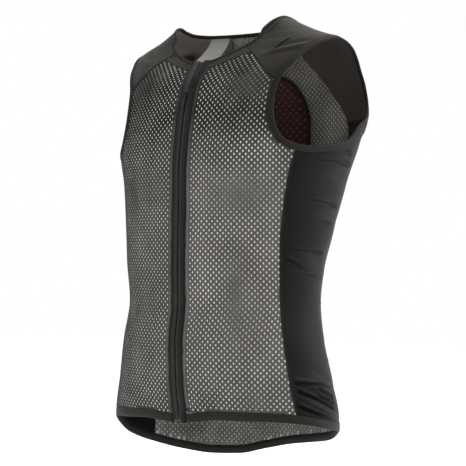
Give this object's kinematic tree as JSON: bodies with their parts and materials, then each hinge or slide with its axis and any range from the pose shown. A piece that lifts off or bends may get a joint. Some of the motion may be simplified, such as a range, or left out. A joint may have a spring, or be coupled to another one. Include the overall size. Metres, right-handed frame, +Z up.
{
  "type": "motorcycle armour vest",
  "caption": "Sleeveless open-mesh protective vest with a full-length front zip, stretch side panels and a padded spine pocket.",
  "frame": {"origin": "midway between the two points where the neckline crosses the top of the shoulders", "axes": "+Z up along the body, +X towards the wearer's left, -Y out of the chest"},
  "size_m": [0.407, 0.2612, 0.6611],
  "materials": {
    "open_mesh": "matte open knit over a pale liner",
    "stretch_cloth": "smooth stretch knit with a soft sheen",
    "elastic_tape": "ribbed elastic tape",
    "hem_cloth": "doubled stretch knit",
    "zip_cloth": "woven tape",
    "zip_plastic": "moulded coil",
    "slider_metal": "black coated",
    "pocket_cloth": "dark red perforated cloth over foam",
    "label_cloth": "blank woven satin"
  },
  "bodies": {
    "root": {"front_panel_left": "open_mesh", "front_panel_right": "open_mesh", "back_panel": "open_mesh", "side_panel_left": "stretch_cloth", "side_panel_right": "stretch_cloth", "shoulder_yoke_left": "stretch_cloth", "shoulder_yoke_right": "stretch_cloth", "neck_tape": "elastic_tape", "armhole_tape_left": "elastic_tape", "armhole_tape_right": "elastic_tape", "hem_band": "hem_cloth", "zip_tape_left": "zip_cloth", "zip_tape_right": "zip_cloth", "zip_teeth_left": "zip_plastic", "zip_teeth_right": "zip_plastic", "zip_teeth": "zip_plastic", "zip_box": "zip_plastic", "zip_slider": "slider_metal", "zip_pull": "slider_metal", "spine_pocket": "pocket_cloth", "spine_pocket_tape": "elastic_tape", "care_label": "label_cloth"}
  },
  "joints": []
}
